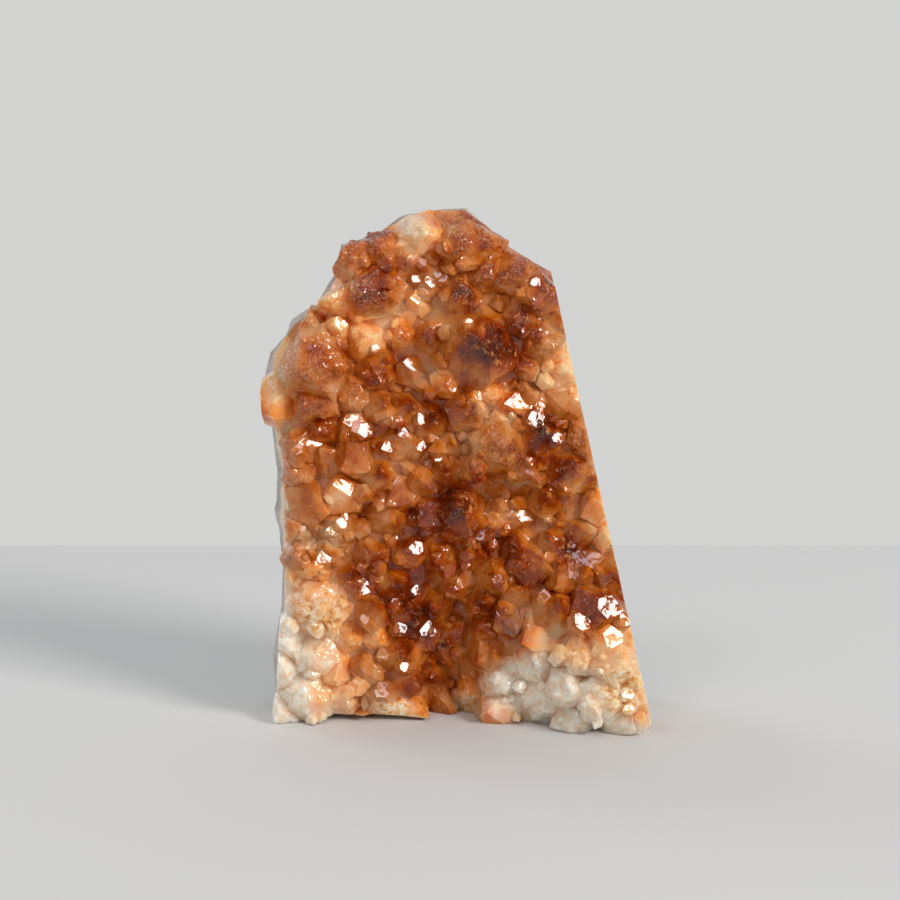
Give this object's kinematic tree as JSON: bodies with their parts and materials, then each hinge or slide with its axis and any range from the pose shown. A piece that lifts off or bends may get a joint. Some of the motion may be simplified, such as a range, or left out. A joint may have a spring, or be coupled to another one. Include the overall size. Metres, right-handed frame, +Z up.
{
  "type": "citrine geode",
  "caption": "Cut-base citrine geode slab: a crust of blunt and sharp quartz points on a rough stony rind, standing on a flat sawn base.",
  "frame": {"origin": "middle of the slab's outline, on the plane of its sawn base", "axes": "+Z up, the quartz points face -Y, +X towards the sawn side"},
  "size_m": [0.0878, 0.0429, 0.1162],
  "materials": {
    "rind_stone": "matte",
    "citrine_quartz": "gloss"
  },
  "bodies": {
    "root": {"rind": "rind_stone", "citrine_crust": "citrine_quartz"}
  },
  "joints": []
}
